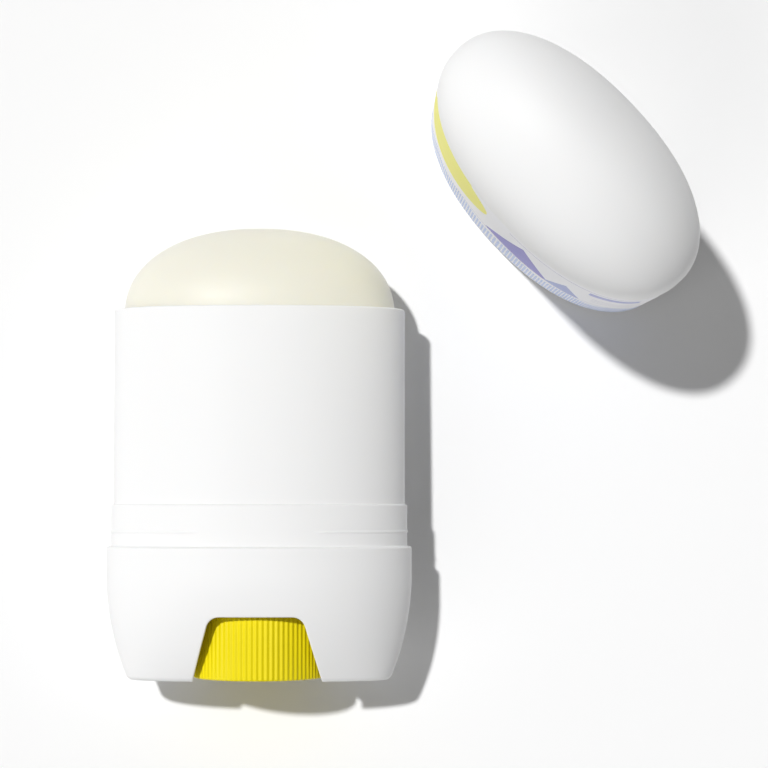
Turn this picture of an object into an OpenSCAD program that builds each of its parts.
// Oval twist-up sun stick lying on its back, with its cap standing beside it.
// The stick's pieces are drawn upright, with the foot at height 0, and then laid down.

/* [Oval section] */
// How square the oval is, 2 being an ellipse
oval_n = 2.2; // [2:0.05:2.8]
// Straight sides that the oval is drawn with
oval_sides = 72; // [48:8:96]

/* [Base] */
// Width of the base, and of the cap over it
base_w = 57.2; // [50:0.1:66]
// Depth of the base from front to back, and of the cap
base_d = 31.2; // [29:0.1:38]
// Height of the base up to the ledge that the cap stands on
base_h = 24.9; // [23:0.1:30]
// Height at which the skirt starts to draw in towards the foot
skirt_z = 20; // [17:0.5:22]
// Width of the foot
foot_w = 49; // [46:0.5:52]
// Depth of the foot
foot_d = 16; // [14:0.5:19]
// Rounding of the foot's outer edge
foot_edge_r = 0.8; // [0.3:0.1:1.1]
// Wall of the skirt round the dial
skirt_wall = 1.5; // [1.3:0.1:2]
// Floor between the dial and the product
floor_t = 1.8; // [1.2:0.1:3]

/* [Dial window] */
// Height of the window
window_h = 12.2; // [9:0.1:13]
// Width of the window at the foot
window_foot_w = 24; // [20:0.5:27]
// Width of the window at its top, measured to sharp corners
window_top_w = 17; // [14:0.5:19]
// Rounding of the window's upper corners
window_r = 2.4; // [1:0.1:3]
// Gap between the dial and the wall on each side of it
pocket_gap = 0.5; // [0.3:0.1:0.7]
// Thickness of the walls beside the dial
pocket_wall = 1.2; // [0.8:0.1:1.6]

/* [Barrel] */
// Ledge round the collar that the cap's rim stands on
collar_step = 0.85; // [0.7:0.05:1.2]
// Height of the collar
collar_h = 7.8; // [6:0.1:10]
// Step from the collar in to the barrel
barrel_step = 0.45; // [0.3:0.05:0.8]
// Height of the barrel's lip above the ledge
barrel_h = 44.4; // [38:0.1:52]
// Wall of the barrel
barrel_wall = 1.4; // [1.1:0.1:1.8]
// Rounding of the lip's outer edge
lip_r = 0.4; // [0.2:0.1:0.7]
// Height of the snap beads above the ledge
bead_z = 2.4; // [1.6:0.1:4]
// Width of a snap bead
bead_h = 0.8; // [0.5:0.1:1.2]
// How far a snap bead stands out
bead_out = 0.25; // [0.1:0.05:0.3]
// Distance from the stick's middle to where a bead ends
bead_from = 11; // [8:0.5:15]

/* [Dial] */
// Radius over the dial's ribs
dial_r = 12.3; // [11.8:0.1:12.6]
// Height of the dial
dial_h = 13; // [12.4:0.1:14]
// How far the dial is set up from the foot
dial_recess = 0.4; // [0.2:0.1:0.8]
// Gap between the dial and the floor over it
dial_gap = 0.2; // [0.15:0.05:0.4]
// Ribs round the dial
rib_count = 78; // [60:1:90]
// Depth of the ribs
rib_depth = 0.35; // [0.2:0.05:0.5]
// Wall of the dial under its ribs
dial_wall = 1.6; // [1.2:0.1:2.5]
// Thickness of the dial's lower face
dial_face_t = 2; // [1.5:0.1:3]
// Webs inside the dial
web_count = 6; // [4:1:8]
// Thickness of a web
web_t = 1.2; // [0.8:0.1:2]

/* [Feed screw] */
// Radius of the neck that turns in the floor
neck_r = 4; // [4:0.05:4.4]
// Radial running clearance of the neck
neck_fit = 0.08; // [0.05:0.01:0.1]
// How far the snap ring over the floor stands out from the neck
ring_out = 0.6; // [0.4:0.1:0.9]
// Height of the snap ring
ring_h = 1.2; // [0.8:0.1:2]
// Gap between the snap ring and the floor
ring_gap = 0.1; // [0.05:0.05:0.3]
// Radius over the thread
thread_r = 3.9; // [3.6:0.05:4]
// Radius of the thread's core
core_r = 2.7; // [2.4:0.1:2.9]
// Rise of the thread in one turn
thread_lead = 4; // [3.5:0.1:5]
// Width of the thread's crest
crest_w = 1; // [0.8:0.1:1.2]
// Width of the thread's flank
flank_w = 0.6; // [0.5:0.1:0.7]
// Clearance between the screw and the elevator's nut
thread_gap = 0.3; // [0.25:0.01:0.35]
// How far the screw ends under the lip
screw_drop = 1.8; // [1:0.1:4]

/* [Elevator] */
// Thickness of the elevator's plate
plate_t = 2; // [1.4:0.1:3]
// Gap between the plate and the barrel's wall
plate_gap = 0.3; // [0.25:0.05:0.5]
// Gap between the lowered nut and the snap ring
nut_drop_gap = 0.3; // [0.2:0.1:1]
// Depth of the guide wall round the plate, and of the nut, under the plate
guide_h = 7; // [5:0.5:9]
// Thickness of the guide wall
guide_t = 1.2; // [0.8:0.1:1.8]
// Radius of the nut
nut_r = 6.6; // [5.8:0.1:7.5]
// Height of the nut above the plate
nut_h = 3; // [1:0.5:6]
// Thickness of the fins that grip the product
fin_t = 1.2; // [0.8:0.1:1.8]
// Height of the fins
fin_h = 6; // [4:0.5:9]
// Distance from the middle to the end of the long fins
fin_reach = 19; // [17:0.5:20]
// Distance from the middle to the cross fins
fin_cross_x = 13; // [11:0.5:15]
// Length of a cross fin
fin_cross_l = 14; // [10:0.5:16]

/* [Product] */
// Gap between the product and the barrel's wall
product_gap = 0.5; // [0.3:0.05:0.8]
// Depth of the dome's edge under the lip
dome_drop = 1; // [0.5:0.1:2]
// Height of the dome from its edge
dome_h = 16.3; // [12:0.1:18]
// Clearance round what the product is cast on
cast_gap = 0.05; // [0.03:0.01:0.1]
// Room over the end of the screw
screw_room = 1; // [0.5:0.1:3]

/* [Cap] */
// Clearance between the cap and the collar
cap_fit = 0.12; // [0.08:0.02:0.2]
// How far the cap's wider mouth reaches past the collar
mouth_extra = 0.4; // [0.3:0.1:1]
// Clearance between the cap and the barrel
cap_clear = 0.25; // [0.2:0.05:0.35]
// How much each side of the cap draws in up to its shoulder
cap_taper = 0.25; // [0.1:0.05:0.3]
// Height of the cap's shoulder over the barrel's lip
shoulder_rise = 1.6; // [1:0.1:4]
// Room between the product's dome and the cap
dome_room = 3; // [2:0.1:5]
// Thickness of the cap's top
cap_top_t = 1.3; // [1:0.1:2]

/* [Label] */
// Height of the label's lower edge above the cap's rim
label_z = 2; // [1:0.5:6]
// Gap between the label's upper edge and the cap's shoulder
label_top_gap = 0.5; // [0.3:0.1:6]
// Thickness of the label's film
label_t = 0.1; // [0.08:0.01:0.2]
// Glue under the film
label_glue = 0.03; // [0.02:0.01:0.05]
// Angle that is left bare at each end of the label
label_bare = 14; // [8:1:30]

/* [Layout] */
// Distance across from the stick's middle to the cap's
cap_dx = 55.9; // [48:0.1:75]
// Distance along from the stick's foot to the cap's middle
cap_dy = 93.4; // [86:0.1:110]
// Turn of the standing cap
cap_turn = -46.5; // [-60:0.5:-25]

/* [Hidden] */

cut = 1;
skirt_rings = 9;
edge_rings = 3;
corner_steps = 6;
dome_rings = 12;
dome_end = 87;
screw_sides = 16;
turn_slices = 12;
round_fn = 96;
// Corners of a rib, as parts of the pitch and of the rib's depth
rib_corners = [[0, 0], [0.25, 0], [0.45, 1], [0.8, 1]];

base_a = base_w / 2;
base_b = base_d / 2;
collar_a = base_a - collar_step;
collar_b = base_b - collar_step;
barrel_a = collar_a - barrel_step;
barrel_b = collar_b - barrel_step;
bore_a = barrel_a - barrel_wall;
bore_b = barrel_b - barrel_wall;
lip_z = base_h + barrel_h;

dial_top = dial_recess + dial_h;
floor_z = dial_top + dial_gap;
floor_top = floor_z + floor_t;
neck_hole_r = neck_r + neck_fit;
ring_z = floor_top + ring_gap;
ring_top = ring_z + ring_h;
screw_top = lip_z - screw_drop;
dial_inner_r = dial_r - rib_depth - dial_wall;

guide_z = ring_top + nut_drop_gap;
plate_z = guide_z + guide_h;
plate_top = plate_z + plate_t;
plate_a = bore_a - plate_gap;
plate_b = bore_b - plate_gap;

product_a = bore_a - product_gap;
product_b = bore_b - product_gap;
dome_z = lip_z - dome_drop;
product_top = dome_z + dome_h;
screw_hole_r = thread_r + thread_gap;

cap_h = product_top + dome_room + cap_top_t - base_h;
shoulder_z = barrel_h + shoulder_rise;
shoulder_a = base_a - cap_taper;
shoulder_b = base_b - cap_taper;
mouth_h = collar_h + mouth_extra;
cap_bore_a = barrel_a + cap_clear;
cap_bore_b = barrel_b + cap_clear;
label_top = shoulder_z - label_top_gap;

// The stick rests on the back of its ledge and of its lip
rest_tilt = atan((base_b - barrel_b) / barrel_h);
rest_lift = base_b * cos(rest_tilt) + base_h * sin(rest_tilt);
foot_dip = (foot_d / 2 - foot_edge_r) * sin(rest_tilt);

// Half the room that a turned oval takes up, measured along one axis
oval_dual = oval_n / (oval_n - 1);
function reach(a, b, angle) =
    pow(pow(a * abs(cos(angle)), oval_dual) + pow(b * abs(sin(angle)), oval_dual), 1 / oval_dual);

// The origin is on the surface under the middle of the stick and cap together
stick_x = -(cap_dx + reach(base_a, base_b, cap_turn) - base_a) / 2;
stick_y = -(cap_dy + reach(base_a, base_b, 90 - cap_turn) - foot_dip) / 2;

function rounded_power(v) = sign(v) * pow(abs(v), 2 / oval_n);
function oval_point(a, b, angle) = [a * rounded_power(cos(angle)), b * rounded_power(sin(angle))];
function oval(a, b) = [for (i = [0 : oval_sides - 1]) oval_point(a, b, 360 * i / oval_sides)];

// How far an arc that reaches inset at its end has come in, at a part of its length
function arc_inset(inset, length, at) =
    let (r = (length * length + inset * inset) / (2 * inset)) r - sqrt(r * r - at * at);

// One ring of the skirt: half width, half depth and height
function skirt_ring(z, inward) =
    [base_a - arc_inset(base_a - foot_w / 2, skirt_z, skirt_z - z) - inward,
     base_b - arc_inset(base_b - foot_d / 2, skirt_z, skirt_z - z) - inward,
     z];
function skirt_curve(from_z, to_z, inward) =
    [for (i = [0 : skirt_rings]) skirt_ring(from_z + (to_z - from_z) * i / skirt_rings, inward)];
function foot_edge() =
    [for (i = [0 : edge_rings - 1])
        let (u = 90 * i / edge_rings)
        skirt_ring(foot_edge_r * (1 - cos(u)), foot_edge_r * (1 - sin(u)))];

function lip_edge() =
    [for (i = [0 : edge_rings])
        let (u = 90 * i / edge_rings, inset = lip_r * (1 - cos(u)))
        [barrel_a - inset, barrel_b - inset, lip_z - lip_r * (1 - sin(u))]];

// Rings of a dome that starts at half width a and half depth b
function dome(a, b, z, h) =
    [for (i = [0 : dome_rings])
        let (u = dome_end * i / dome_rings, k = rounded_power(cos(u)))
        [a * k, b * k, z + h * rounded_power(sin(u))]];

// Closed solid through a stack of oval rings
module loft(rings) {
    n = oval_sides;
    last = len(rings) - 1;
    points = [for (r = rings) for (p = oval(r[0], r[1])) [p[0], p[1], r[2]]];
    sides = [for (k = [0 : last - 1]) for (i = [0 : n - 1])
        let (j = (i + 1) % n, low = k * n, high = low + n)
        each [[low + i, high + i, high + j], [low + i, high + j, low + j]]];
    bottom = [for (i = [0 : n - 1]) i];
    top = [for (i = [n - 1 : -1 : 0]) last * n + i];
    polyhedron(points, concat([bottom], sides, [top]));
}

module oval_prism(a, b, z, h) {
    translate([0, 0, z]) linear_extrude(h) polygon(oval(a, b));
}

// Laid down on its back, with the front upwards
module lay_down() {
    translate([stick_x, stick_y, rest_lift]) rotate([-90 - rest_tilt, 0, 0]) children();
}

module stand_cap() {
    translate([stick_x + cap_dx, stick_y + cap_dy, 0]) rotate([0, 0, cap_turn]) children();
}

// Outline of the dial window, with rounded upper corners
module window_outline() {
    foot = window_foot_w / 2;
    top = window_top_w / 2;
    lean = atan((foot - top) / window_h);
    corner_x = top - window_r * tan((90 - lean) / 2);
    corner = [for (i = [0 : corner_steps])
        let (u = (90 - lean) * i / corner_steps)
        [corner_x + window_r * sin(u), window_h - window_r * (1 - cos(u))]];
    right = concat(corner, [[foot, 0], [foot + (foot - top) * cut / window_h, -cut]]);
    left = [for (i = [len(right) - 1 : -1 : 0]) [-right[i][0], right[i][1]]];
    polygon(concat(right, left));
}

module window_cut() {
    rotate([90, 0, 0]) translate([0, 0, -base_d]) linear_extrude(2 * base_d) window_outline();
}

// Hollow of the skirt, with a wall left standing on each side of the dial
module skirt_hollow() {
    wall_x = dial_r + pocket_gap + pocket_wall / 2;
    difference() {
        loft(concat([skirt_ring(0, skirt_wall) - [0, 0, cut]], skirt_curve(0, floor_z, skirt_wall)));
        for (side = [-1, 1])
            translate([side * wall_x, 0, dial_recess + floor_z / 2])
                cube([pocket_wall, base_d, floor_z], center = true);
    }
}

module snap_beads() {
    difference() {
        oval_prism(collar_a + bead_out, collar_b + bead_out, base_h + bead_z, bead_h);
        cube([2 * bead_from, 2 * base_d, 4 * base_h], center = true);
    }
}

module barrel_body() {
    difference() {
        union() {
            loft(concat(foot_edge(), skirt_curve(foot_edge_r, skirt_z, 0), [[base_a, base_b, base_h]]));
            oval_prism(collar_a, collar_b, base_h - cut, collar_h + cut);
            snap_beads();
            oval_prism(barrel_a, barrel_b, base_h - cut, barrel_h - lip_r + cut);
            loft(lip_edge());
        }
        oval_prism(bore_a, bore_b, floor_top, lip_z - floor_top + cut);
        skirt_hollow();
        cylinder(r = neck_hole_r, h = lip_z, $fn = round_fn);
        window_cut();
    }
}

// Ribbed outline of the dial
module rib_outline() {
    pitch = 360 / rib_count;
    root_r = dial_r - rib_depth;
    polygon([for (i = [0 : rib_count - 1]) for (p = rib_corners)
        let (u = pitch * (i + p[0]), r = root_r + p[1] * rib_depth) [r * cos(u), r * sin(u)]]);
}

// Radius of the thread at an angle from its crest, with a clearance round it
function thread_radius(angle, gap) =
    let (along = thread_lead * min(angle, 360 - angle) / 360 - crest_w / 2 - gap,
         part = min(1, max(0, along / flank_w)))
    thread_r + gap - part * (thread_r - core_r);

module thread(z, h, gap) {
    turns = h / thread_lead;
    outline = [for (i = [0 : screw_sides - 1])
        let (u = 360 * i / screw_sides, r = thread_radius(u, gap)) [r * cos(u), r * sin(u)]];
    rotate([0, 0, -360 * z / thread_lead]) translate([0, 0, z])
        linear_extrude(h, twist = 360 * turns, slices = ceil(turns * turn_slices)) polygon(outline);
}

module dial_wheel() {
    difference() {
        translate([0, 0, dial_recess]) linear_extrude(dial_h) rib_outline();
        translate([0, 0, dial_recess + dial_face_t]) cylinder(r = dial_inner_r, h = dial_h, $fn = round_fn);
    }
    for (i = [0 : web_count - 1])
        rotate([0, 0, 360 * i / web_count]) translate([0, -web_t / 2, dial_recess + dial_face_t / 2])
            cube([dial_inner_r + dial_wall / 2, web_t, dial_h - dial_face_t]);
}

module dial_body() {
    dial_wheel();
    translate([0, 0, dial_recess]) cylinder(r = neck_r, h = ring_z - dial_recess + ring_h / 2, $fn = round_fn);
    translate([0, 0, ring_z]) cylinder(r = neck_r + ring_out, h = ring_h, $fn = round_fn);
    thread(ring_top - ring_h / 2, screw_top - ring_top + ring_h / 2, 0);
}

// Fins that the product is cast round, grown by a clearance
module fins(gap) {
    grown = fin_t + 2 * gap;
    for (side = [0, 1]) mirror([side, 0, 0]) {
        translate([nut_r - fin_t, -grown / 2, plate_top - plate_t / 2])
            cube([fin_reach - nut_r + fin_t + gap, grown, plate_t / 2 + fin_h + gap]);
        translate([fin_cross_x - grown / 2, -fin_cross_l / 2 - gap, plate_top - plate_t / 2])
            cube([grown, fin_cross_l + 2 * gap, plate_t / 2 + fin_h + gap]);
    }
}

module elevator_body() {
    difference() {
        union() {
            difference() {
                oval_prism(plate_a, plate_b, guide_z, guide_h + plate_t);
                oval_prism(plate_a - guide_t, plate_b - guide_t, guide_z - cut, guide_h + cut);
            }
            translate([0, 0, guide_z]) cylinder(r = nut_r, h = guide_h + plate_t + nut_h, $fn = round_fn);
            fins(0);
        }
        thread(guide_z - cut, guide_h + plate_t + nut_h + 2 * cut, thread_gap);
    }
}

module product_body() {
    difference() {
        union() {
            oval_prism(product_a, product_b, plate_top, dome_z - plate_top);
            loft(dome(product_a, product_b, dome_z, dome_h));
        }
        translate([0, 0, plate_top - cut])
            cylinder(r = nut_r + cast_gap, h = nut_h + cast_gap + cut, $fn = round_fn);
        translate([0, 0, plate_top])
            cylinder(r = screw_hole_r, h = screw_top + screw_room - plate_top, $fn = round_fn);
        fins(cast_gap);
    }
}

// One ring of the cap's outer wall, with its drawn-in sides
function cap_ring(z, outward) =
    let (inset = cap_taper * z / shoulder_z - outward) [base_a - inset, base_b - inset, z];

module cap_body() {
    inner_h = cap_h - cap_top_t - shoulder_z;
    difference() {
        loft(concat([cap_ring(0, 0)], dome(shoulder_a, shoulder_b, shoulder_z, cap_h - shoulder_z)));
        oval_prism(collar_a + cap_fit, collar_b + cap_fit, -cut, mouth_h + cut);
        oval_prism(collar_a + cap_fit + bead_out, collar_b + cap_fit + bead_out, bead_z, bead_h);
        oval_prism(cap_bore_a, cap_bore_b, mouth_h - cut, shoulder_z - mouth_h + cut);
        loft(dome(cap_bore_a, cap_bore_b, shoulder_z, inner_h));
    }
}

// Film round the front half of the cap's wall
module label_body() {
    n = oval_sides;
    span = 180 - 2 * label_bare;
    heights = [label_z, label_top];
    points = [for (out = [label_glue, label_glue + label_t]) for (z = heights) for (i = [0 : n])
        let (r = cap_ring(z, out), p = oval_point(r[0], r[1], 180 + label_bare + span * i / n))
        [p[0], p[1], z]];
    row = n + 1;
    inner = 0;
    outer = 2 * row;
    faces = [for (i = [0 : n - 1])
        each [[inner + i, inner + i + 1, inner + row + i + 1], [inner + i, inner + row + i + 1, inner + row + i],
              [outer + i, outer + row + i + 1, outer + i + 1], [outer + i, outer + row + i, outer + row + i + 1],
              [inner + i, outer + i, outer + i + 1], [inner + i, outer + i + 1, inner + i + 1],
              [inner + row + i, outer + row + i + 1, outer + row + i],
              [inner + row + i, inner + row + i + 1, outer + row + i + 1]]];
    ends = [[inner, inner + row, outer + row], [inner, outer + row, outer],
            [inner + n, outer + row + n, inner + row + n], [inner + n, outer + n, outer + row + n]];
    polyhedron(points, concat(faces, ends));
}

module barrel() { color("white") lay_down() barrel_body(); }
module dial() { color("gold") lay_down() dial_body(); }
module elevator() { color("ghostwhite") lay_down() elevator_body(); }
module product() { color("ivory") lay_down() product_body(); }
module cap() { color("white") stand_cap() cap_body(); }
module label() { color("lavender") stand_cap() label_body(); }

barrel();
dial();
elevator();
product();
cap();
label();
